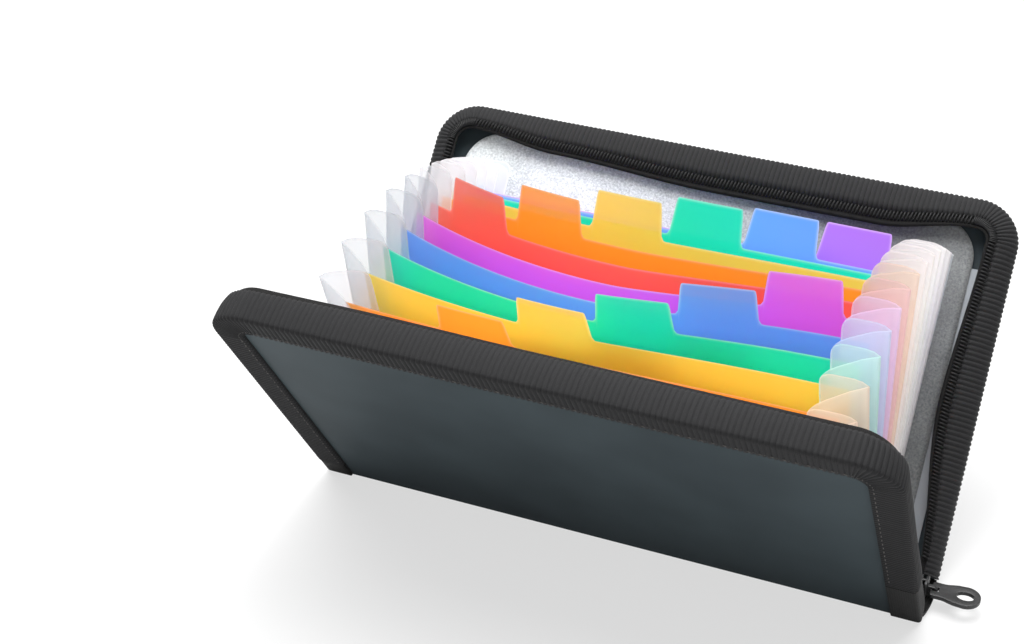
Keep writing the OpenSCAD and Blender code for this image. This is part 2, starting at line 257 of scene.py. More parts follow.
def woven(name, dark, light, yarn_mm, sheen, depth_mm, crown_highlight=0.0, solid=False):
    """A plain weave: two sine waves crossed, one yarn apart, on the piece's own UV map, or through a solid.
    The attribute rim is 1 on a rib's top and 0 in the groove, and crown_highlight says how much it lightens the top:
    a painted highlight, with painted shade left in the groove."""
    made, tree, shader = material(name, Roughness=0.8, IOR=1.5, Specular_IOR_Level=0.15, Sheen_Weight=sheen,
                                  Sheen_Roughness=0.45)
    if solid:
        place = node(tree, "ShaderNodeTexCoord").outputs["Object"]
        place = node(tree, "ShaderNodeVectorMath", {"operation": "SCALE"}, Vector=place, Scale=1 / MM).outputs[0]
    else:
        place = node(tree, "ShaderNodeUVMap", {"uv_map": "millimetres"}).outputs["UV"]
    # a wave of scale 1 repeats 20 times in 2 pi
    turn = 2 * math.pi / yarn_mm / 20
    along, across = (node(tree, "ShaderNodeTexWave", {"bands_direction": axis}, Vector=place, Scale=turn,
                          Distortion=1.2, Detail=1.0, Detail_Scale=2.0).outputs["Fac"] for axis in "XY")
    weave = node(tree, "ShaderNodeMath", {"operation": "MULTIPLY"}, i0=along, i1=across).outputs[0]
    # wear comes in patches of about 3 mm, and this place is in millimetres already
    wear = node(tree, "ShaderNodeTexNoise", Vector=place, Scale=0.35, Detail=4.0).outputs[0]
    # the rib's top is lightened as a painted highlight, and its groove stays dark as painted shade
    mixed = times_plus(tree, attribute(tree, "rim"), crown_highlight, times_plus(tree, weave, 0.6, wear))
    tree.links.new(two_tone(tree, mixed, dark, light, 0.35, 1.05 + crown_highlight), shader.inputs["Base Color"])
    bump(tree, shader, weave, depth_mm)
    return made


# yarns of 0.5 to 0.7 mm, a little coarser than the real 0.3 mm so that they show
RIBBON = woven("ribbed_polyester_ribbon", "#020202", "#232324", 0.5, 0.03, 0.05, 1.3)
TAPE = woven("woven_zipper_tape", "#070707", "#191818", 0.6, 0.03, 0.05)
PATCH = woven("plain_weave_patch", "#070707", "#171717", 0.7, 0.05, 0.06)
WEBBING = woven("plain_weave_webbing", "#070707", "#171717", 0.7, 0.05, 0.06, solid=True)

# %% [markdown]
# ### Nylon coil, sewing thread and painted zinc
# The coil is extruded nylon: smooth, black, quite shiny. The thread is bonded polyester. The slider and
# its pull are die-cast zinc with a matt grey paint that has worn a little shiny.

# %% Small hard materials


def plain(name, dark, light, grain_mm, depth_mm, **values):
    """A finish with fine mottling: noise of one grain size drives both the colour and the bump."""
    made, tree, shader = material(name, **values)
    place = node(tree, "ShaderNodeTexCoord").outputs["Object"]
    grain = noise(tree, place, grain_mm, Detail=2.0)
    tree.links.new(two_tone(tree, grain, dark, light), shader.inputs["Base Color"])
    bump(tree, shader, grain, depth_mm)
    return made


NYLON = plain("nylon_coil", "#0E0E0F", "#19191A", 0.8, 0.01, Roughness=0.42, IOR=1.53, Specular_IOR_Level=0.2)
THREAD = plain("bonded_thread", "#3C3A38", "#55524F", 0.4, 0.03, Roughness=0.7, IOR=1.5)
ZINC = plain("painted_zinc", "#1C1C1C", "#242425", 0.5, 0.02, Roughness=0.4, IOR=1.5, Specular_IOR_Level=0.4)

# %% [markdown]
# ### Speckled felt
# The lining is a thin needle felt. Its fibres are matted in all directions, so it has no weave, only
# small light and dark specks and a soft, uneven nap.

# %% Felt


def felt():
    """Specks of about 0.7 mm on a nap that drifts over 12 mm, darkened from left to right as painted shade."""
    made, tree, shader = material("needle_felt_grey", Roughness=0.95, IOR=1.5, Sheen_Weight=0.4, Sheen_Roughness=0.5)
    place = node(tree, "ShaderNodeTexCoord").outputs["Object"]
    mixed = times_plus(tree, noise(tree, place, 12, Detail=2.0), 0.25,
                       noise(tree, place, 0.7, Detail=3.0, Roughness=0.7))
    fibres = two_tone(tree, mixed, "#9DA1A3", "#E3E7E7", 0.42, 0.82)
    # painted shade: the felt is darkened towards the right-hand gusset, and lamps as soft as these give only part of
    # that shade
    across = node(tree, "ShaderNodeSeparateXYZ", Vector=place).outputs["X"]
    shade = node(tree, "ShaderNodeMapRange", {"interpolation_type": "SMOOTHSTEP"}, Value=across, From_Min=-0.05,
                 From_Max=0.08, To_Min=1.0, To_Max=0.25).outputs[0]
    shaded = node(tree, "ShaderNodeVectorMath", {"operation": "SCALE"}, Vector=fibres, Scale=shade).outputs[0]
    tree.links.new(shaded, shader.inputs["Base Color"])
    bump(tree, shader, mixed, 0.25)
    return made


FELT = felt()

# %% [markdown]
# ### Translucent polypropylene sheet
# Dividers and gussets are cast polypropylene film with a frosted face. Light goes through, so a coloured
# sheet glows and shows a trace of what is behind it, and its cut edge, which gathers the light, is paler
# than its face. An attribute called rim is 1 on the cut edge and fades over a millimetre. A clear film
# glows with the colour of the sheet near it: tint is that colour, and tinted is its share.

# %% Films


def film(name, face, edge, alpha, edge_alpha, roughness, through):
    """Sheet seen from both sides: a share of the light comes through it, and a share of what is behind shows."""
    made, tree, shader = material(name, Roughness=roughness, IOR=1.49, Specular_IOR_Level=0.2)
    rim = attribute(tree, "rim")
    place = node(tree, "ShaderNodeTexCoord").outputs["Object"]
    # a faint haze in patches of 15 mm, and frosting of 0.4 mm
    pale = times_plus(tree, noise(tree, place, 15, Detail=3.0), 0.06, rim)
    colour = node(tree, "ShaderNodeMix", {"data_type": "RGBA"}, i0=attribute(tree, "tinted"),
                  i6=two_tone(tree, pale, face, edge, 0.0, 1.0), i7=attribute(tree, "tint", "Color")).outputs[2]
    tree.links.new(colour, shader.inputs["Base Color"])
    bump(tree, shader, noise(tree, place, 0.4, Detail=1.0), 0.01)
    glow = node(tree, "ShaderNodeBsdfTranslucent", Color=colour).outputs[0]
    sheet = node(tree, "ShaderNodeMixShader", i0=through, i1=shader.outputs[0], i2=glow).outputs[0]
    behind = node(tree, "ShaderNodeBsdfTransparent").outputs[0]
    cover = node(tree, "ShaderNodeMapRange", Value=rim, To_Min=alpha, To_Max=edge_alpha).outputs[0]
    shown = node(tree, "ShaderNodeMixShader", i0=cover, i1=behind, i2=sheet).outputs[0]
    tree.links.new(shown, tree.nodes["Material Output"].inputs["Surface"])
    return made


FILM = film("frosted_polypropylene_film", "#D6DBE1", "#EEF1F4", 0.48, 0.75, 0.42, 0.4)
SHEET_COLOURS = {
    "red": ("#FF6E58", "#FFA090"), "orange": ("#FFAC30", "#FFCB88"), "yellow": ("#FFE04C", "#FFF3A0"),
    "green": ("#00EAC4", "#8CF2DA"), "blue": ("#62A4FF", "#B0C8FF"), "magenta": ("#F46EF6", "#F8B0F4"),
    "purple": ("#B070EC", "#D4A8F2")}
# how much of what is behind a sheet it hides; the green is the densest of them
SHEET_HIDES = {name: 0.98 if name == "green" else 0.92 for name in SHEET_COLOURS}
SHEETS = {name: film(name + "_polypropylene_sheet", face, edge, SHEET_HIDES[name], 1.0, 0.34, 0.28)
          for name, (face, edge) in SHEET_COLOURS.items()}
print("sheet colours:", ", ".join(SHEETS))

# %% [markdown]
# ## Surfaces
# Every new piece is a grid of points computed as one array. The grid is turned into quads by adding
# offsets to the corner numbers, and several grids can share one mesh.

# %% Grid meshes
WELD = 0.002


def grid_faces(rows, columns, close_rows, close_columns):
    """Quads of a grid whose points are numbered row by row; closing joins the last line to the first."""
    i = np.arange(rows if close_rows else rows - 1)[:, None]
    j = np.arange(columns if close_columns else columns - 1)[None, :]
    i2, j2 = (i + 1) % rows, (j + 1) % columns
    return np.stack([i * columns + j, i * columns + j2, i2 * columns + j2, i2 * columns + j], -1).reshape(-1, 4)


def surface(points, close_rows=False, close_columns=False, flip=False, uv=None, rim=None):
    """One grid, ready to be joined with others: points in mm as rows x columns x 3."""
    rows, columns = points.shape[:2]
    faces = grid_faces(rows, columns, close_rows, close_columns)
    flat_uv = np.zeros((rows * columns, 2)) if uv is None else uv.reshape(-1, 2)
    flat_rim = np.zeros(rows * columns) if rim is None else np.broadcast_to(rim, (rows, columns)).reshape(-1)
    return points.reshape(-1, 3), faces[:, ::-1] if flip else faces, flat_uv, flat_rim


def make(name, parts, body, finish, replaces=(), merge=False):
    """Joins grids into one object that rides on a body, takes a slot's finish and hides its CAD nodes.
    Merging welds points that fall together, at a pole or along a seam, and turns all faces outwards."""
    counts = np.cumsum([0] + [len(part[0]) for part in parts])
    points = np.concatenate([part[0] for part in parts]) * MM
    faces = np.concatenate([part[1] + start for part, start in zip(parts, counts)])
    mesh = bpy.data.meshes.new(name)
    mesh.vertices.add(len(points))
    mesh.vertices.foreach_set("co", points.astype(np.float32).ravel())
    mesh.loops.add(faces.size)
    mesh.loops.foreach_set("vertex_index", faces.ravel().astype(np.int32))
    mesh.polygons.add(len(faces))
    mesh.polygons.foreach_set("loop_start", (np.arange(len(faces)) * 4).astype(np.int32))
    mesh.polygons.foreach_set("use_smooth", np.full(len(faces), True))
    mesh.update(calc_edges=True)
    uv = np.concatenate([part[2] for part in parts])
    mesh.uv_layers.new(name="millimetres").data.foreach_set("uv", uv[faces.ravel()].astype(np.float32).ravel())
    rim = np.concatenate([part[3] for part in parts])
    mesh.attributes.new("rim", "FLOAT", "POINT").data.foreach_set("value", rim.astype(np.float32))
    mesh.validate()
    if merge:
        work = bmesh.new()
        work.from_mesh(mesh)
        bmesh.ops.remove_doubles(work, verts=work.verts, dist=WELD * MM)
        bmesh.ops.recalc_face_normals(work, faces=work.faces)
        work.to_mesh(mesh)
        work.free()
    mesh.materials.append(finish)
    made = bpy.data.objects.new(name, mesh)
    bpy.context.scene.collection.objects.link(made)
    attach(made, body)
    if replaces:
        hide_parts(*replaces)
    print(f"{name}: {len(faces)} faces on {body}")
    return made


def paint(nodes, finish):
    """Gives CAD nodes that keep their shape their real finish."""
    for name in nodes:
        mesh = frame["nodes"][name].data
        mesh.materials.clear()
        mesh.materials.append(finish)
    print("painted:", ", ".join(nodes))


print("a grid of 3 x 4 points has", len(grid_faces(3, 4, False, False)), "quads")

# %% [markdown]
# ## The covers' own frames
# Each cover is drawn flat: x along the crease, h up the board and d inwards from the board's middle.
# Leaning it is one rotation about the crease, and the rear cover is the front one mirrored.

# %% Cover frames
FRONT = {"side": -1, "lean": math.radians(-LEAN[0]), "body": "front_cover", "name": "front"}
REAR = {"side": 1, "lean": math.radians(LEAN[-1]), "body": "rear_cover", "name": "rear"}


def on_cover(cover, x, d, h):
    """World y is the crease's, less d cos(lean), plus h sin(lean), towards the cover's side."""
    c, s = math.cos(cover["lean"]), math.sin(cover["lean"])
    x, d, h = np.broadcast_arrays(x, d, h)
    return np.stack([x, cover["side"] * (CREASE_Y - d * c + h * s), CREASE_Z + d * s + h * c], -1)


SIDE_TOP = COVER_H - CORNER_R
ARC = math.pi / 2 * CORNER_R
FOOT = 1.0
# where the outline's stretches end: left side, corner, top, corner, right side
EDGE_AT = np.cumsum([0, SIDE_TOP - FOOT, ARC, COVER_W - 2 * CORNER_R, ARC, SIDE_TOP - FOOT])
EDGE_LENGTH = EDGE_AT[-1]


def edge(s, inset):
    """The cover's outline, s mm along it from the left foot, moved inwards by inset.
    A point of the inner skeleton, less the corner radius (less the inset) times the inward normal."""
    heading = np.radians(np.interp(s, EDGE_AT, [90, 90, 0, 0, -90, -90]))
    skeleton_x = np.interp(s, EDGE_AT, np.array([-1, -1, -1, 1, 1, 1]) * (COVER_W / 2 - CORNER_R))
    skeleton_h = np.interp(s, EDGE_AT, [FOOT, SIDE_TOP, SIDE_TOP, SIDE_TOP, SIDE_TOP, FOOT])
    out = CORNER_R - inset
    return skeleton_x - out * np.sin(heading), skeleton_h + out * np.cos(heading)


print("edge length:", round(EDGE_LENGTH, 1), "mm")

# %% [markdown]
# ## How the walls hang
# The ribbon turns over the board's edge and goes on inwards as a wall that ends in the zip. Nothing
# stiffens it, so it stands square near the corners and sags between them: a little on the front cover,
# and down towards the lining on the rear one. The wall's free edge is given at a few places along the
# outline and eased between them; across, the wall is a quadratic curve that leaves the board squarely.

# %% Wall shape
PLACES = np.array([0, 0.5 * EDGE_AT[1], EDGE_AT[1], EDGE_AT[2], EDGE_AT[2] + 30, 0.5 * EDGE_LENGTH,
                   EDGE_AT[3] - 30, EDGE_AT[3], EDGE_AT[4], 0.5 * (EDGE_AT[4] + EDGE_LENGTH), EDGE_LENGTH])
# inwards of the outline, and depth from the board, from the left foot to the right one
FRONT["free_in"] = [2.5, 4, 3, 2.5, 4.5, 6, 5, 2.5, 3, 4, 2.5]
FRONT["free_d"] = [9, 9, 9.3, 10.5, 11.5, 11.5, 11, 10, 8.5, 9, 9]
REAR["free_in"] = [2.5, 9, 9, 9, 12.5, 15, 15, 10.5, 9, 11.5, 5]
REAR["free_d"] = [9, 6.5, 6.5, 6.5, 5.5, 5, 5.5, 6.5, 7, 7, 9]
# how much of the wall is ribbon; the rest is bare tape
FRONT["ribbon_share"], REAR["ribbon_share"] = 0.68, 0.82
# how far up its own height the wall stays square to the board
SQUARE = 0.75


def eased(s, values):
    """Values at the places, eased between them by 3t^2 - 2t^3."""
    at = np.clip(np.searchsorted(PLACES, s, side="right") - 1, 0, len(PLACES) - 2)
    values = np.array(values, float)
    t = np.clip((s - PLACES[at]) / (PLACES[at + 1] - PLACES[at]), 0, 1)
    return values[at] + (values[at + 1] - values[at]) * t * t * (3 - 2 * t)


def wall(cover, s, q, proud=0.0):
    """A point on the wall: q is 0 at the board and 1 at the free edge, proud is measured outwards.
    Quadratic curve from (0, 0.5) by (0, 0.75 depth) to (in, depth), moved along its own normal."""
    free_in, free_d = eased(s, cover["free_in"]), eased(s, cover["free_d"])
    inward = q * q * free_in
    depth = (1 - q) ** 2 * BOARD_IN + 2 * q * (1 - q) * SQUARE * free_d + q * q * free_d
    slope_in = 2 * q * free_in
    slope_d = -2 * (1 - q) * BOARD_IN + 2 * (1 - 2 * q) * SQUARE * free_d + 2 * q * free_d
    length = np.hypot(slope_in, slope_d)
    return inward - proud * slope_d / length, depth + proud * slope_in / length


print("deepest sag inwards:", max(FRONT["free_in"]), "mm in front,", max(REAR["free_in"]), "mm behind")

# %% [markdown]
# ## The ribbed ribbon
# The ribs are rounded cords 1.6 mm apart that run across the ribbon. The cross-section is a closed
# loop: along the cover's face, round the board's edge, down the wall, and back along the inside. Only
# the outer side carries the ribs, as a small outward swell that repeats along the edge.

# %% Ribbon
RIBBON_W, RIBBON_T = 9.4, 0.7
RIB_PITCH, RIB_HIGH = 1.6, 0.46
SAMPLES_PER_RIB = 6
EDGE_TURN_R = 1.2


def ribbon_section(cover, s, rib, thick):
    """Cross-sections as (inset, depth) pairs for all s at once: rows of s, columns round the loop.
    Flat on the board's face, a quarter turn round its edge, then the wall's outside and its inside.
    Each outer column moves outwards by the rib's height, but for the two at the hem."""
    swell = rib[:, None] * RIB_HIGH
    face_in = np.array([RIBBON_W, RIBBON_W, RIBBON_W - 0.25, 7.6, 6, 4.4, 2.8, 1.5]) + 0 * swell
    face_d = BOARD_OUT - np.array([0.0, 0.6, 1, 1, 1, 1, 1, 0.98]) * thick - swell * [0, 0, 1, 1, 1, 1, 1, 1]
    turn = np.radians([20, 45, 70, 90])
    turn_in = EDGE_TURN_R * (1 - np.sin(turn)) - swell * np.sin(turn)
    turn_d = BOARD_OUT - (thick + swell) * np.cos(turn)
    q = np.linspace(0, cover["ribbon_share"], 8)[None, :]
    outside = wall(cover, s[:, None], q, swell)
    inside = wall(cover, s[:, None], q[:, ::-1], -thick)
    return [np.concatenate(run, 1) for run in ((face_in, turn_in, outside[0], inside[0]),
                                               (face_d, turn_d, outside[1], inside[1]))]


def ribbon(cover, start, end, ribbed, thick):
    """The ribbon between two places along the edge, with ends closed by drawing them in.
    A rib is |sin(pi s / pitch)| ^ 0.7. The UV map is s along, and the arc length round the section."""
    count = int((end - start) / RIB_PITCH * (SAMPLES_PER_RIB if ribbed else 2)) + 1
    s = np.linspace(start, end, count)
    rib = np.abs(np.sin(math.pi * s / RIB_PITCH)) ** 0.7 if ribbed else np.zeros(count)
    inset, depth = ribbon_section(cover, s, rib, thick)
    x, h = edge(s[:, None], inset)
    steps = [np.diff(run, axis=1, prepend=run[:, :1]) for run in (inset, depth)]
    uv = np.stack(np.broadcast_arrays(s[:, None], np.cumsum(np.hypot(*steps), 1)), -1)
    points = on_cover(cover, x, depth, h)
    # a last ring at each end shrinks to the section's middle, which closes the tube
    caps = [points[[k]].mean(1, keepdims=True) + 0 * points[[k]] for k in (0, -1)]
    points = np.concatenate([caps[0], points, caps[1]])
    uv = np.concatenate([uv[:1], uv, uv[-1:]])
    # the rib's profile, stored as rim, lightens the rib's top as a painted highlight
    crown_highlight = np.pad(rib, 1, mode="edge")[:, None]
    return surface(points, close_columns=True, uv=uv, rim=crown_highlight, flip=cover["side"] < 0)


# how far the patch at each foot reaches up, left and right, and where that leaves the ribbon
PATCH_H = {"front": (9.0, 28.0), "rear": (9.0, 9.0)}
PATCH_T = RIBBON_T + 0.35
for cover in (FRONT, REAR):
    front_or_rear, left, right = cover["name"], PATCH_H[cover["name"]][0], EDGE_LENGTH - PATCH_H[cover["name"]][1]
    make(front_or_rear + "_ribbed_ribbon", [ribbon(cover, left, right, True, RIBBON_T)], cover["body"],
         RIBBON, [front_or_rear + "_edge_binding", front_or_rear + "_binding_face"])
    # the rear cover's ends are the ribbon itself, doubled over
    ribbed, finish = cover is REAR, RIBBON if cover is REAR else PATCH
    for side, start, end in (("left", 0, left), ("right", right, EDGE_LENGTH)):
        make(f"{front_or_rear}_patch_fabric_{side}", [ribbon(cover, start, end, ribbed, PATCH_T)], cover["body"],
             finish, [f"{front_or_rear}_patch_{side}"])

# %% [markdown]
# ## Zipper tape and coil
# Past the ribbon the wall goes on as bare zipper tape, and a nylon coil is sewn along its edge. The tape
# is the same curved wall as the ribbon's, drawn further, and thin enough to need only two layers.

# %% Tape
# the tape lies a little under the ribbon's outer face, and the wall is about 14 mm wide
TAPE_T, TAPE_SUNK, WALL_W = 0.45, 0.2, 14


def tape(cover):
    """The wall's last stretch, from under the ribbon to the free edge, as a thin closed strip."""
    s = np.linspace(FOOT, EDGE_LENGTH - FOOT, 420)[:, None]
    q = np.linspace(cover["ribbon_share"] - 0.06, 1.0, 9)[None, :]
    top = wall(cover, s, q, -TAPE_SUNK)
    under = wall(cover, s, q[:, ::-1], -TAPE_SUNK - TAPE_T)
    inset, depth = (np.concatenate(pair, 1) for pair in zip(top, under))
    x, h = edge(s, inset)
    uv = np.stack(np.broadcast_arrays(s, np.concatenate([q, q[:, ::-1]], 1) * WALL_W), -1)
    return surface(on_cover(cover, x, depth, h), close_columns=True, uv=uv, flip=cover["side"] < 0)


print("bare tape in front:", round((1 - FRONT["ribbon_share"]) * WALL_W, 1), "mm wide")

# %% [markdown]
# A coil is one long helix, flattened against the tape, so one function sweeps a tube along any line that
# winds round a core. It serves the two long coils and, later, the closed teeth under the slider.

# %% Coil
COIL_PITCH, COIL_WIRE = 1.15, 0.28
COIL_HALF_W, COIL_HALF_T = 0.9, 0.45
# the coil's middle as a share of the wall, and the bare tape beyond each of its ends
COIL_Q, COIL_FREE = 0.87, 4
STEPS_PER_TURN = 10
# the front wall has rolled outwards, so its coil lies on the hidden side of the tape
FRONT["coil_lift"], REAR["coil_lift"] = -1.3, 0.0


def wire(centre, core, radius):
    """A five-sided tube along a line that winds round a core; each ring is square to the line."""
    ahead = np.gradient(centre, axis=0)
    ahead /= np.linalg.norm(ahead, axis=1, keepdims=True)
    outwards = centre - core
    outwards -= (outwards * ahead).sum(1, keepdims=True) * ahead
    outwards /= np.linalg.norm(outwards, axis=1, keepdims=True)
    sideways = np.cross(ahead, outwards)
    around = np.linspace(0, 2 * math.pi, 5, endpoint=False)
    ring = outwards[:, None] * np.cos(around)[None, :, None] + sideways[:, None] * np.sin(around)[None, :, None]
    return surface(centre[:, None] + radius * ring, close_columns=True)


def coil(cover):
    """Helix round the free edge: centre line + half width cos(a) along the tape + half thickness sin(a)
    across it, where a turns once a pitch. The wire is a five-sided tube round that line."""
    turns = int((EDGE_LENGTH - 2 * COIL_FREE) / COIL_PITCH)
    a = np.linspace(0, 2 * math.pi * turns, turns * STEPS_PER_TURN + 1)
    s = COIL_FREE + a / (2 * math.pi) * COIL_PITCH
    width = np.hypot(eased(s, cover["free_in"]), eased(s, cover["free_d"]))

    def line(along_tape, across_tape):
        """The wall's points beside the coil's middle, moved by mm along and across the tape."""
        inset, depth = wall(cover, s, COIL_Q + along_tape / width, cover["coil_lift"] + across_tape)
        x, h = edge(s, inset)
        return on_cover(cover, x, depth, h)

    return wire(line(COIL_HALF_W * np.cos(a), COIL_HALF_T * np.sin(a)), line(0 * a, 0 * a), COIL_WIRE)


for cover in (FRONT, REAR):
    make(cover["name"] + "_tape_cloth", [tape(cover)], cover["body"], TAPE,
         [cover["name"] + "_zipper_tape"])
    make(cover["name"] + "_coil_wire", [coil(cover)], cover["body"], NYLON,
         [cover["name"] + "_zipper_coil"])

# %% [markdown]
# ## Stitches
# One row of lockstitch holds the ribbon to the board, a millimetre and a half in from the ribbon's edge.
# Each stitch is a short spindle that dips into the ribbon at both ends.

# %% Stitches
STITCH_PITCH, STITCH_LONG, STITCH_R = 3.2, 2.3, 0.17
# from the ribbon's hem, above its face, and the arch of one stitch
STITCH_IN, STITCH_UP, STITCH_ARCH = 1.5, 0.2, 0.12


def stitches(cover, start, end):
    """Spindles: radius falls to nothing at both ends, and the middle stands proud of the ribbon."""
    count = int((end - start) / STITCH_PITCH)
    first = start + STITCH_PITCH * (np.arange(count) + 0.5)
    t = np.linspace(-1, 1, 6)
    around = np.linspace(0, 2 * math.pi, 6, endpoint=False)
    s = first[:, None, None] + t[None, :, None] * STITCH_LONG / 2 + 0 * around
    radius = STITCH_R * np.sqrt(1 - 0.97 * t[None, :, None] ** 2) + 0 * around
    inset = RIBBON_W - STITCH_IN + radius * np.cos(around)
    arch = STITCH_UP + STITCH_ARCH * (1 - t[None, :, None] ** 2)
    depth = BOARD_OUT - RIBBON_T - arch + radius * np.sin(around)
    x, h = edge(s, inset)
    return [surface(p, close_columns=True) for p in on_cover(cover, x, depth, h)]


for cover in (FRONT, REAR):
    left, right = PATCH_H[cover["name"]]
    make(cover["name"] + "_stitch_row", stitches(cover, left + 1, EDGE_LENGTH - right - 1), cover["body"],
         THREAD)

# %% [markdown]
# ## Boards, spine and creases
# The boards and the spine are one sheet of plastic with two creases. The CAD boards are already right
# and only need their finish. Between board and spine the crease is a thin web that bends as the cover
# turns; here it is made at rest and rides on no body.

# %% Boards and creases
paint(["front_cover_board", "rear_cover_board", "spine_board"], PLASTIC)


CREASE_OUT_R, CREASE_IN_R, CREASE_TAIL = 0.49, 0.24, 1.3


def crease(cover):
    """An arc round the crease line, from under the spine to the cover's outer face, 0.25 mm thick.
    Straight tails run a little way under the spine and up the board."""
    half = COVER_W / 2 - 1.0
    x = np.linspace(-half, half, 60)[:, None]
    lean = cover["lean"]
    angle = np.linspace(-math.pi / 2, -lean, 9)
    ways = []
    for radius in (CREASE_OUT_R, CREASE_IN_R):
        y, z = CREASE_Y + radius * np.cos(angle), CREASE_Z + radius * np.sin(angle)
        y = np.concatenate([[CREASE_Y - CREASE_TAIL], y, [y[-1] + CREASE_TAIL * math.sin(lean)]])
        z = np.concatenate([[z[0]], z, [z[-1] + CREASE_TAIL * math.cos(lean)]])
        ways.append((y, z))
    y, z = (np.concatenate([outer, inner[::-1]]) for outer, inner in zip(*ways))
    points = np.stack(np.broadcast_arrays(x, cover["side"] * y, z), -1)
    return surface(points, close_columns=True, flip=cover["side"] > 0)


for cover in (FRONT, REAR):
    piece = make(cover["name"] + "_crease", [crease(cover)], "spine", PLASTIC)
    # the crease lets go of the body that make gave it and rides on none
    piece.parent = None
    del piece["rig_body"]
    start = (0.0, cover["side"] * (CREASE_Y - 0.2) * MM, 0.0)
    end = on_cover(cover, 0.0, BOARD_OUT, 0.9) * MM
    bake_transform(piece)

# %% [markdown]
# ## Felt lining
# Each lining is one cut of felt with two rounded corners, glued flat to the board. Its width is
# constant up the sides and follows the corner's circle at the top. It is a single layer of points with
# a slightly uneven nap, and Solidify gives it its thickness.

# %% Lining
LINING_HALF_W, LINING_LOW, LINING_TOP, LINING_R = 88.0, 3.0, 113.0, 13.0
NAP = 0.05


def lining(cover):
    """Rows up the board; each row's half width is the straight one, less what the corner's arc takes.
    The nap is a product of sines that waver, so it has no visible order."""
    rise = np.concatenate([np.linspace(0, 0.88, 40), 0.88 + 0.12 * np.sin(np.linspace(0, math.pi / 2, 22)[1:])])
    h = LINING_LOW + (LINING_TOP - LINING_LOW) * rise[:, None]
    up = np.clip(h - (LINING_TOP - LINING_R), 0, LINING_R)
    half = LINING_HALF_W - LINING_R + np.sqrt(LINING_R ** 2 - up ** 2)
    x = half * np.linspace(-1, 1, 90)[None, :]
    nap = NAP * np.sin(x * 0.9 + 2 * np.sin(h * 0.31)) * np.sin(h * 0.7)
    return surface(on_cover(cover, x, BOARD_IN + LINING_T + nap - NAP, h), flip=cover["side"] > 0)


for cover in (FRONT, REAR):
    piece = make(cover["name"] + "_felt", [lining(cover)], cover["body"], FELT,
                 [cover["name"] + "_lining"])
    thickness = piece.modifiers.new("thickness", "SOLIDIFY")
    thickness.thickness, thickness.offset = (LINING_T - NAP) * MM, -1

# %% [markdown]
# ## The dividers' shape
# A divider is a thin sheet, held only at its ends by the gussets. The gussets lean further back than the
# folds below them and the sheet sags forwards between them, most in the middle pockets. So its surface is
# the CAD plane, turned by a lean that changes from end to end, plus a bow that fades to nothing at the
# ends and grows with height.

# %% Divider surface
DIVIDER_HALF_W, DIVIDER_H, TAB_TOP = 75.0, 91.0, 103.0
OUTER_FOLD, INNER_FOLD, GUSSET_TOP = 82.0, 68.0, 103.0
TWIST_DEG, SAG, SKEW = 10.0, 19.5, 0.88


def divider(k, x, h):
    """Point on divider k, x across and h up, with swing the sine of k's place between the covers.
    Lean = CAD lean + twist swing^2.5 (1 - x/82) / 2.
    Bow = sag swing^3 (1 - |x/82|^1.5) (1 - skew x/82) (h/91)^1.5."""
    x, h = np.broadcast_arrays(x, h)
    swing = math.sin(math.pi * k / (LEAVES + 1))
    end = x / OUTER_FOLD
    lean = np.radians(LEAN[k] + TWIST_DEG * swing ** 2.5 * (1 - end) / 2)
    across = (1 - np.abs(np.clip(end, -1, 1)) ** 1.5) * (1 - SKEW * end)
    bow = SAG * swing ** 3 * across * (np.maximum(h, 0) / DIVIDER_H) ** 1.5
    y = SLOT_Y[k - 1] + h * np.sin(lean) - bow * np.cos(lean)
    z = SLOT_Z + h * np.cos(lean) + bow * np.sin(lean)
    return np.stack([x, y, z], -1)


def settle(piece):
    """Gives the piece a mesh of its own."""
    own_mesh(piece)


flat_y = SLOT_Y[5] + DIVIDER_H * math.sin(math.radians(LEAN[6]))
print("bow of the sixth divider's top:", round(float(flat_y - divider(6, 0.0, DIVIDER_H)[1]), 1), "mm")

# %% [markdown]
# ## Index dividers
# The sheet's outline has one straight top and one tab with sloping sides and rounded corners. Because the
# sides slope, the top is a function of x, so the sheet is still a simple grid: columns at chosen x, rows
# from the fold up to the outline. Rows and columns crowd together near the edge, where the paler rim is.

# %% Dividers
TAB_PITCH, TAB_ROOT, TAB_SLOPE, TAB_ROUND = 21.3, 23.5, 1.3, 0.8
TABS_PER_ROW = 6
# margin kept free of film below a divider, and how fast the pale rim fades inwards
LOW, RIM_MM = 0.5, 0.5
FRONT_ROW = ["red", "orange", "yellow", "green", "blue", "magenta"]
COLOUR_ORDER = FRONT_ROW + FRONT_ROW[:5] + ["purple"]


def tab_outline(middle):
    """Columns and the top's height there: body, rounded foot, sloping side, rounded corner, and mirrored."""
    half, rise = TAB_ROOT / 2, TAB_TOP - DIVIDER_H
    a = np.linspace(0, math.pi / 2, 7)[1:-1]
    side_x = np.concatenate([[-half - 1.2], [-half - 0.5, -half - 0.1], np.linspace(0, TAB_SLOPE, 6)[1:-1] - half,
                             -half + TAB_SLOPE + TAB_ROUND * (1 - np.cos(a)) * 0.9, [-half + TAB_SLOPE + TAB_ROUND]])
    side_h = np.concatenate([[0], [0.15, 0.8], np.linspace(0.12, 0.82, 4) * rise,
                             rise - TAB_ROUND * (1 - np.sin(a)) * 0.9, [rise]])
    x = np.concatenate([side_x, np.linspace(-half + 5, half - 5, 8), -side_x[::-1]]) + middle
    h = np.concatenate([side_h, np.full(8, rise), side_h[::-1]]) + DIVIDER_H
    before = np.arange(-DIVIDER_HALF_W, x[0] - 0.5, 3.0)
    after = np.arange(DIVIDER_HALF_W, x[-1] + 0.5, -3.0)[::-1]
    return np.concatenate([before, x, after]), np.concatenate([before * 0 + DIVIDER_H, h, after * 0 + DIVIDER_H])


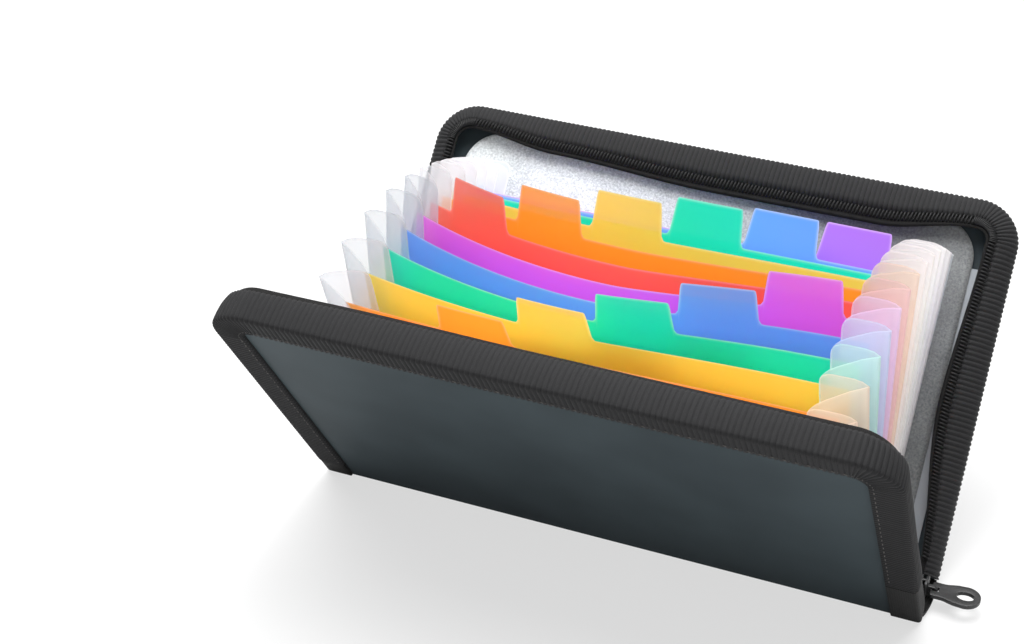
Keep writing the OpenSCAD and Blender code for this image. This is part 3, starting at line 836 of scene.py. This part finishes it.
def sheet_grid(k):
    """Rows fall from the outline by growing shares of the height there, and the columns are the outline's.
    Rim = exp(-(gap / 0.5 mm)^2), where gap is the distance to the nearest point of the outline."""
    columns, top = tab_outline(((k - 1) % TABS_PER_ROW - (TABS_PER_ROW - 1) / 2) * TAB_PITCH)
    below = np.array([0, 0.3, 0.7, 1.2, 2.0, 3.5, 6, 9, 13, 18, 24, 31, 39, 48, 58, 69])
    share = np.append(below / (DIVIDER_H - LOW), 1.0)[::-1, None]
    h = top[None, :] - share * (top[None, :] - LOW)
    outline = np.stack([columns, top], -1)
    fine = np.concatenate([outline[:-1] + (outline[1:] - outline[:-1]) * t for t in np.linspace(0, 1, 6)[:-1]])
    x = np.broadcast_to(columns, h.shape)
    gap = np.sqrt((x[..., None] - fine[:, 0]) ** 2 + (h[..., None] - fine[:, 1]) ** 2).min(-1)
    return surface(divider(k, x, h), rim=np.exp(-(gap / RIM_MM) ** 2))


for k in range(1, LEAVES + 1):
    colour = COLOUR_ORDER[k - 1]
    piece = make(f"{colour}_sheet_{k:02d}", [sheet_grid(k)], f"leaf_{k:02d}", SHEETS[colour],
                 [f"divider_{k:02d}"])
    settle(piece)

# %% [markdown]
# ## Gussets
# At each end the pockets are joined by a pleated strip of frosted film. Each pleat folds outwards round
# the margin of one divider and inwards halfway to the next. The inner fold is about the average of the
# two dividers' surfaces, so neighbouring pleats meet there whatever shape the dividers take. At the top
# the strip's edge is level, and rounded where it turns to the inner fold.

# %% Gusset film
GUSSET_LOW, LEFT_LOWER = 3.0, 1.5
GUSSET_ROWS = np.concatenate([np.linspace(0, 0.9, 16), [0.94, 0.965, 0.982, 0.993, 1.0]])[:, None]
# a pleat is about 13 mm deep, and its inner fold stops just short of halfway to its neighbour
PLEAT_W, PLEAT_MEETS, PLEAT_SWELL = 13, 0.48, 0.85
PLEAT_HALF_GAP = 0.35
FOLD_RIM, FOLD_RIM_MM = 0.7, 0.4


def neighbour(k, x, h):
    """The surface on the other side of a pocket: a divider, or a cover's panel at the two ends."""
    if k == 0:
        return on_cover(FRONT, x, PANEL_IN, h)
    if k == LEAVES + 1:
        return on_cover(REAR, x, PANEL_IN, h)
    return divider(k, x, h)


def pleat_top(u):
    """Height of the film's top: 1.5 mm lower at the outer fold, and rounded off by 4.5 mm at the inner one."""
    past = np.clip((u - 0.68) / 0.32, 0, 1)
    return GUSSET_TOP - 1.5 * (1 - np.clip(u / 0.25, 0, 1)) ** 2 - 4.5 * (1 - np.sqrt(1 - past ** 2))


def film_rim(top_gap, fold_gap):
    """Pale along the cut top and, less, along the folds: each fades as exp(-(gap / width)^2)."""
    return np.maximum(np.exp(-(top_gap / RIM_MM) ** 2), FOLD_RIM * np.exp(-(fold_gap / FOLD_RIM_MM) ** 2))


print("film's top, outer fold to inner:", np.round(pleat_top(np.linspace(0, 1, 5)), 1))

# %% [markdown]
# Seen through several frosted layers, a pleat takes on the colour of the sheet behind it. Real film does
# it with light that has bounced many times; here every pleat also carries a little of that colour.

# %% Pleats


def tint_pleat(piece, right_code, right_share, left_code, left_share):
    """Every point takes the colour of its end, which is mixed into the film's own by that end's share."""
    points = np.zeros(len(piece.data.vertices) * 3)
    piece.data.vertices.foreach_get("co", points)
    right = points[::3] > 0
    share = np.where(right, right_share, left_share)
    colour = np.where(right[:, None], linear(right_code), linear(left_code)).ravel()
    piece.data.attributes.new("tint", "FLOAT_COLOR", "POINT").data.foreach_set("color", colour.astype(np.float32))
    piece.data.attributes.new("tinted", "FLOAT", "POINT").data.foreach_set("value", share.astype(np.float32))


def pleat(k, side):
    """Across: from one inner fold (-1), round the outer fold (0), to the other inner fold (+1).
    Point = outer fold + |u|^0.85 (inner fold - outer fold), where the inner fold is midway to the neighbour.
    The outer fold is in the divider's own surface on the left, and swept back to midway on the right."""
    half = np.array([0.03, 0.1, 0.25, 0.45, 0.65, 0.8, 0.9, 0.95, 0.985, 1])
    u = np.concatenate([-half[::-1], [0], half])
    w = np.abs(u)[None, :]
    top = pleat_top(w) - (LEFT_LOWER if side < 0 else 0)
    h = GUSSET_LOW + GUSSET_ROWS * (top - GUSSET_LOW)
    outer = divider(k, side * OUTER_FOLD + 0 * h, h)
    if side > 0:
        outer = (outer + neighbour(k + 1, OUTER_FOLD + 0 * h, h)) / 2
    margin = divider(k, side * INNER_FOLD + 0 * h, h)
    other = np.where(u[None, :, None] < 0, neighbour(k - 1, side * INNER_FOLD + 0 * h, h),
                     neighbour(k + 1, side * INNER_FOLD + 0 * h, h))
    inner = margin + (other - margin) * PLEAT_MEETS
    points = outer + (w ** PLEAT_SWELL)[..., None] * (inner - outer)
    # past the fold, the two layers stand a little to either side of the divider's margin
    lean = math.radians(LEAN[k])
    away = (np.sign(u) * np.minimum(1, np.abs(u) / 0.1))[None, :, None] * PLEAT_HALF_GAP
    points = points + away * np.array([0, math.cos(lean), -math.sin(lean)])
    return surface(points, rim=film_rim(top - h, np.minimum(w, 1 - w) * PLEAT_W), flip=side > 0)


for k in range(1, LEAVES + 1):
    piece = make(f"pleat_{k:02d}", [pleat(k, -1), pleat(k, 1)], f"leaf_{k:02d}", FILM,
                 [f"gusset_fold_{k:02d}"])
    if k < 8:
        # the light comes from the sheet behind, but the second pleat still glows with its own orange
        behind = COLOUR_ORDER[1] if k == 2 else COLOUR_ORDER[k]
        # painted shade: the left ends of the front pleats are greyed, the seventh's only faintly
        shade_left = "#A4ACB8" if k < 7 else "#E8E8EC"
        tint_pleat(piece, SHEET_COLOURS[behind][1], 0.42, shade_left, 0.5)
    else:
        # the rear pleats are lightened towards white at both ends, as painted bounced light
        tint_pleat(piece, "#FFF6F2", 0.6, "#FAF6F8", 0.7)
    settle(piece)


# %% [markdown]
# The first and the last pocket are closed against the covers by half a pleat each, which starts on the
# cover's end panel.

# %% End pleats
END_PLEAT_IN = PANEL_IN + 0.1


def end_pleat(cover, k, side):
    """Half a pleat: from the cover's panel at the outer fold to the inner fold beside the first divider."""
    u = np.array([0, 0.05, 0.2, 0.4, 0.6, 0.75, 0.87, 0.94, 0.98, 1.0])[None, :]
    h = GUSSET_LOW + GUSSET_ROWS * (pleat_top(u) - GUSSET_LOW)
    outer = on_cover(cover, side * OUTER_FOLD + 0 * h, END_PLEAT_IN, h)
    mine = on_cover(cover, side * INNER_FOLD + 0 * h, PANEL_IN, h)
    inner = mine + (divider(k, side * INNER_FOLD + 0 * h, h) - mine) * PLEAT_MEETS
    points = outer + (u ** PLEAT_SWELL)[..., None] * (inner - outer)
    return surface(points, rim=film_rim(pleat_top(u) - h, (1 - u) * PLEAT_W), flip=side * cover["side"] > 0)


for cover, k in ((FRONT, 1), (REAR, LEAVES)):
    piece = make(cover["name"] + "_end_pleat", [end_pleat(cover, k, -1), end_pleat(cover, k, 1)], cover["body"],
                 FILM, [cover["name"] + "_gusset_leaf"])
    across = on_cover(cover, 0.0, 1.0, 0.0) - on_cover(cover, 0.0, 0.0, 0.0)
    tuple(on_cover(cover, 0.0, END_PLEAT_IN, 0.0) * MM)
    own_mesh(piece)

paint(["accordion_base", "front_accordion_panel", "rear_accordion_panel"], FILM)

# %% [markdown]
# ## Plates for the zip's hardware
# The slider and its pull are die castings, and every part of them is a plate. So one function makes
# them all: contours that run from the hole, or from a centre, out to the plate's edge on one side and
# back on the other. A bevel then rounds their edges as casting does.

# %% Plates


def plate(contours, low, high, holed):
    """Contours are n x 2, hole or centre first; the third column is low on one side and high on the other."""
    sides = [np.column_stack([c, np.full(len(c), high)]) for c in contours]
    sides += [np.column_stack([c, np.full(len(c), low)]) for c in contours[::-1]]
    return np.stack(sides, 1), holed


def cast(plates, axes, at):
    """Grids of plates whose own axes are laid along the world's, moved to their places."""
    made = []
    for (points, holed), place in zip(plates, at):
        world = np.zeros_like(points)
        world[..., list(axes)] = points
        made.append(surface(world + np.array(place), close_rows=True, close_columns=holed))
    return made


def rounded(half_a, half_b, power=0.45, taper=0.0, count=36):
    """Contours of a solid plate: signed powers of cosine and sine, half the width tapering to one end."""
    t = np.linspace(0, 2 * math.pi, count, endpoint=False)
    a = half_a * np.sign(np.cos(t)) * np.abs(np.cos(t)) ** power
    b = half_b * np.sign(np.sin(t)) * np.abs(np.sin(t)) ** power
    edge_line = np.column_stack([a * (1 - taper * (1 - b / half_b) / 2), b])
    return [edge_line * share for share in (0.0, 0.5, 1.0)]


def bevel(piece, width):
    """Rounds every edge sharper than 40 degrees."""
    radius = piece.modifiers.new("casting_radius", "BEVEL")
    radius.width, radius.segments, radius.limit_method = width * MM, 3, "ANGLE"
    radius.angle_limit = math.radians(40)


print("a plate's contour has", len(rounded(1, 1)[0]), "points")

# %% [markdown]
# ## Pull and bail
# The pull has a ring for a finger, a narrow neck and a fork, whose pin goes through the bail on the
# slider. Their outlines are drawn as half contours and mirrored, from the fork round to the ring.

# %% Pull and bail
# the pin's place, the ring's centre from it and its radius, and half the two plates' thicknesses
HINGE_X, HINGE_Z = 100.6, 5.0
RING_X, RING_R, PULL_HALF_T = 9.8, 4.6, 0.65
BAIL_R, BAIL_HALF_T = 1.5, 0.8


def eye(middle, centre, half_a, half_b):
    """An oval hole whose points face the middle contour's: centre + half sizes times the cosine and sine."""
    angle = np.arctan2(middle[:, 1] - centre[1], middle[:, 0] - centre[0])
    return np.column_stack([centre[0] + half_a * np.cos(angle), centre[1] + half_b * np.sin(angle)])


def mirrored(half_line):
    """A contour that is symmetric about its first axis, from the half that starts on it."""
    return np.concatenate([half_line, half_line[:0:-1] * [1, -1]])


def pull_plate():
    """Fork, neck and ring: the outer line runs round the fork's prongs, and the middle one cuts across them."""
    a = np.radians(np.linspace(104, 4, 16))
    prong = [[1.75, 0], [1.75, 1], [-0.5, 1], [-0.5, 2.9], [-0.1, 3.3], [1, 3.3], [2, 3.3], [3, 3.32], [4, 3.45],
             [5.5, 3.95], [7, 4.35]]
    across = [[2.3, 0], [2.3, 0.9], [2.3, 1.2], [2.3, 2.4], [2.5, 2.7], [2.8, 2.75], [3.1, 2.8], [3.6, 2.85],
              [4.3, 2.95], [5.6, 3.2], [7, 3.5]]
    ring = np.column_stack([np.cos(a), np.sin(a)])
    outer = mirrored(np.concatenate([prong, ring * RING_R + [RING_X, 0]]))
    middle = mirrored(np.concatenate([across, ring * (RING_R - 1) + [RING_X, 0]]))
    return plate([eye(middle, (RING_X, 0), 2.7, 1.95), middle, outer], -PULL_HALF_T, PULL_HALF_T, True)


def bail_plate():
    """A short leg out of the plate that ends in an eye for the pull's pin."""
    a = np.radians(np.linspace(90, 0, 9)[:-1])
    arc = np.column_stack([np.cos(a), np.sin(a)])
    outer = mirrored(np.concatenate([[[-2.2, 0], [-2.2, BAIL_R], [-1.2, BAIL_R]], arc * BAIL_R]))
    middle = mirrored(np.concatenate([[[-1.3, 0], [-1.2, 1.0], [-0.8, 1.1]], arc * 1.15]))
    return plate([eye(middle, (0, 0), BAIL_R / 2, BAIL_R / 2), middle, outer], -BAIL_HALF_T, BAIL_HALF_T, True)


def pin(half_length, radius):
    """A tube along y with its end rings drawn in, 12 sides."""
    t = np.linspace(0, 2 * math.pi, 12, endpoint=False)
    y = np.array([-1, -1, 1, 1])[:, None] * half_length
    r = np.array([0, 1, 1, 0])[:, None] * radius
    return np.stack([HINGE_X + r * np.cos(t), y + 0 * t, HINGE_Z + r * np.sin(t)], -1)


print("pull:", round(RING_X + RING_R, 1), "mm from its pin to its end")

# %% [markdown]
# ## Spine ends, closed teeth and slider
# A scrap of webbing closes each end of the spine, and the last closed stretch of zip stands on it: four
# turns of coil on a strip of tape. The slider holds that stretch: two cast plates joined by side rims and
# by a wedge at the mouth, with the bail in front.

# %% Closed teeth
paint(["left_end_tab", "right_end_tab"], WEBBING)
CHAIN_X, CHAIN_LOW, CHAIN_TURNS = 97.5, 2.7, 4
a = np.linspace(0, 2 * math.pi * CHAIN_TURNS, 15 * CHAIN_TURNS + 1)
core = np.column_stack([a * 0 + CHAIN_X, a * 0, CHAIN_LOW + a / (2 * math.pi) * COIL_PITCH])
teeth = wire(core + np.column_stack([0.2 * np.sin(a), 1.7 * np.cos(a), a * 0]), core, 0.22)
strip = plate(rounded(2.2, 2.4, 0.2), -0.15, 0.15, False)
make("closed_teeth", [teeth] + cast([strip], (1, 2, 0), [(CHAIN_X, 0, 4.6)]), "spine", NYLON,
     ["zipper_chain_end"], merge=True)

# %% Slider
SLIDER_LOW, SLIDER_HIGH, SLIDER_HALF_W = 2.5, 8.5, 2.9
# each plate's thickness and the channel between them that the coil runs through
PLATE_T, CHANNEL = 0.8, 1.2
middle_z = (SLIDER_LOW + SLIDER_HIGH) / 2
faces = plate(rounded(SLIDER_HALF_W, (SLIDER_HIGH - SLIDER_LOW) / 2, 0.45, 0.2), -PLATE_T / 2, PLATE_T / 2, False)
rim_wall = plate(rounded(CHANNEL / 2 + 0.2, 1.6, 0.3), -0.25, 0.25, False)
wedge = plate(rounded(0.5, 0.6, 0.7), -CHANNEL / 2 - 0.2, CHANNEL / 2 + 0.2, False)
offset = (CHANNEL + PLATE_T) / 2
grids = cast([faces, faces, wedge], (1, 2, 0), [(CHAIN_X - offset, 0, middle_z), (CHAIN_X + offset, 0, middle_z),
                                                (CHAIN_X, 0, SLIDER_HIGH - 0.8)])
grids += cast([rim_wall, rim_wall], (0, 2, 1), [(CHAIN_X, y, SLIDER_LOW + 1.9) for y in (-2.35, 2.35)])
grids += cast([bail_plate()], (0, 2, 1), [(HINGE_X, 0, HINGE_Z)])
bevel(make("cast_slider", grids, "slider", ZINC, ["slider_body"], merge=True), 0.18)

# %% Pull
pull_grids = cast([pull_plate()], (0, 1, 2), [(HINGE_X, 0, HINGE_Z)])
pull_grids += [surface(pin(1.6, 0.5), close_columns=True)]
bevel(make("cast_pull", pull_grids, "pull", ZINC, ["pull_tab"], merge=True), 0.3)

# %% [markdown]
# ## Floor, light and world
# The floor is plain and pale, six metres across. Seen straight by the camera it is near white; to
# everything else it is a matt grey that keeps the wallet's shadow and doesn't glare in the front cover,
# which faces it. Three large soft lamps light the wallet from above on both sides and a little from the
# front, and a dim white world fills the rest.

# %% Floor
FLOOR_HALF, FLOOR_WHITE = 3000.0, 0.62


def white_for_camera(tree, lit, strength):
    """Camera rays see plain white at that strength, mixed over the lit surface."""
    path = node(tree, "ShaderNodeLightPath").outputs["Is Camera Ray"]
    glow = node(tree, "ShaderNodeEmission", Color=(1, 1, 1, 1), Strength=1.0).outputs[0]
    share = node(tree, "ShaderNodeMath", {"operation": "MULTIPLY"}, i0=path, i1=strength).outputs[0]
    return node(tree, "ShaderNodeMixShader", i0=share, i1=lit, i2=glow).outputs[0]


def floor():
    """One square at height 0, which isn't part of the object."""
    made, tree, shader = material("pale_floor", Base_Color=linear("#D8D8D8"), Roughness=0.9, IOR=1.3)
    out = tree.nodes["Material Output"]
    tree.links.new(white_for_camera(tree, shader.outputs[0], FLOOR_WHITE), out.inputs["Surface"])
    corners = np.array([[-1, -1, 0], [1, -1, 0], [1, 1, 0], [-1, 1, 0]]) * FLOOR_HALF * MM
    mesh = bpy.data.meshes.new("floor")
    mesh.from_pydata(corners.tolist(), [], [(0, 1, 2, 3)])
    mesh.materials.append(made)
    plane = bpy.data.objects.new("floor", mesh)
    bpy.context.scene.collection.objects.link(plane)


floor()

# %% Lamps
LOOK_AT = (0, 0, 50.0)


def area_light(name, place, size, power):
    """A square lamp that looks at the wallet's middle, with its place and size in mm and power in watts."""
    data = bpy.data.lights.new(name, "AREA")
    data.size, data.energy = size * MM, power
    lamp = bpy.data.objects.new(name, data)
    bpy.context.scene.collection.objects.link(lamp)
    back = np.array(place, float) - LOOK_AT
    back /= np.linalg.norm(back)
    right = np.cross([0, 0, 1.0], back)
    right /= np.linalg.norm(right)
    lamp.matrix_world = aimed(right, np.cross(back, right), back, place)
    print("lamp:", name, power, "W")


area_light("key", (-420, 100, 1050), 900, 16)
area_light("top", (100, 250, 1000), 800, 14)
area_light("fill", (500, -900, 450), 900, 4)

# %% World and view
WORLD_STRENGTH = 0.38
world = bpy.data.worlds.new("studio")
bpy.context.scene.world = world
world.use_nodes = True
background = world.node_tree.nodes["Background"].inputs
background["Color"].default_value = (1, 1, 1, 1)
background["Strength"].default_value = WORLD_STRENGTH
bpy.context.scene.view_settings.view_transform = "Standard"
# many thin films lie one behind another
bpy.context.scene.cycles.transparent_max_bounces = 64
print("world strength:", WORLD_STRENGTH)
